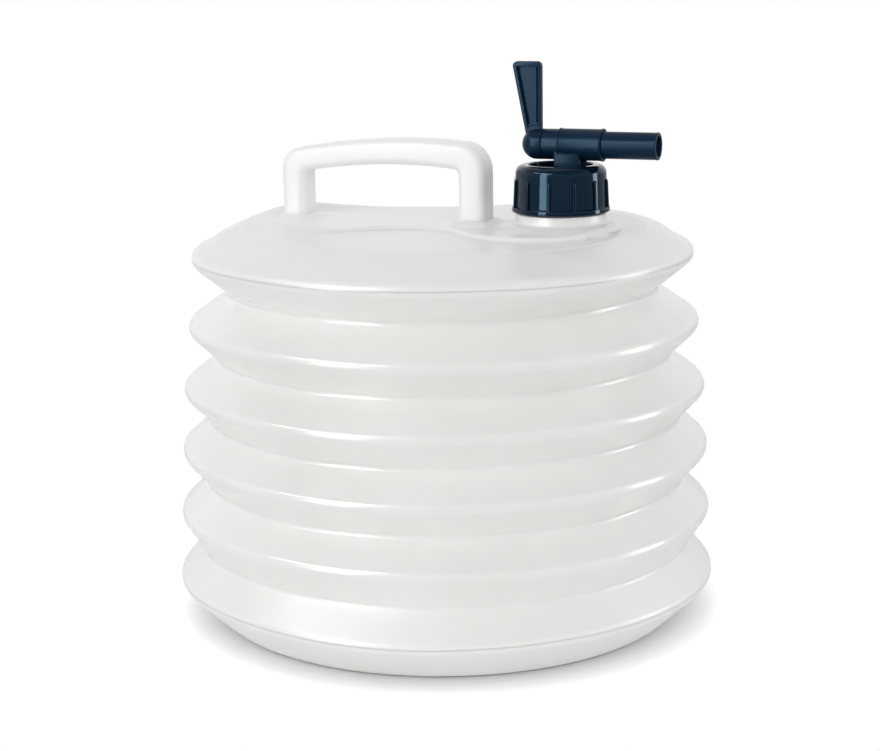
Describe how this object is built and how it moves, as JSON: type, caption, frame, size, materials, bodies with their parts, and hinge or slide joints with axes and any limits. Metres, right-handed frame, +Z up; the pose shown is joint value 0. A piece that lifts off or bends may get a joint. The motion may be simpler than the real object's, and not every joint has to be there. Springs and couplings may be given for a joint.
{
  "type": "collapsible water carrier",
  "caption": "Collapsible soft plastic water carrier: a folding container with a carrying handle and a lever tap held on its filler neck by a ribbed union nut.",
  "frame": {"origin": "centre of the round base, on the surface that the carrier stands on", "axes": "+Z up along the container's axis; +X from the handle's side towards the tap's spout, in the handle's plane; +Y to the left when looking along +X"},
  "size_m": [0.28, 0.28, 0.2839],
  "materials": {
    "container": "soft milky translucent, satin",
    "handle": "white, satin",
    "seal": "matt",
    "nut": "glossy dark navy",
    "tap": "satin dark navy"
  },
  "bodies": {
    "base": {"base_pan": "container", "folding_wall": "container"},
    "top": {"top_shell": "container", "filler_neck": "container", "carry_handle": "handle"},
    "seal": {"seal_ring": "seal"},
    "nut": {"union_nut": "nut"},
    "tap": {"tap_body": "tap"},
    "rotor": {"tap_lever": "tap"}
  },
  "joints": [
    {"name": "collapse", "type": "slide", "parent": "base", "child": "top", "axis": [0, 0, -1], "range_m": [0, 0.125], "deforming": ["folding_wall"]},
    {"name": "cap_lift", "type": "slide", "parent": "top", "child": "seal", "axis": [0, 0, 1], "range_m": [0, 0.008]},
    {"name": "cap_turn", "type": "hinge", "parent": "seal", "child": "nut", "pos_m": [0.0639, 0, 0.222], "axis": [0, 0, 1], "range_deg": [0, 720]},
    {"name": "tap_swivel", "type": "hinge", "parent": "seal", "child": "tap", "pos_m": [0.0639, 0, 0.2276], "axis": [0, 0, 1], "range_deg": [-150, 150]},
    {"name": "lever_turn", "type": "hinge", "parent": "tap", "child": "rotor", "pos_m": [0.0691, 0, 0.2432], "axis": [1, 0, 0], "range_deg": [0, 90]}
  ],
  "couplings": [
    {"joint": "cap_turn", "follows": "cap_lift", "rad_per_m": 1570.8}
  ]
}
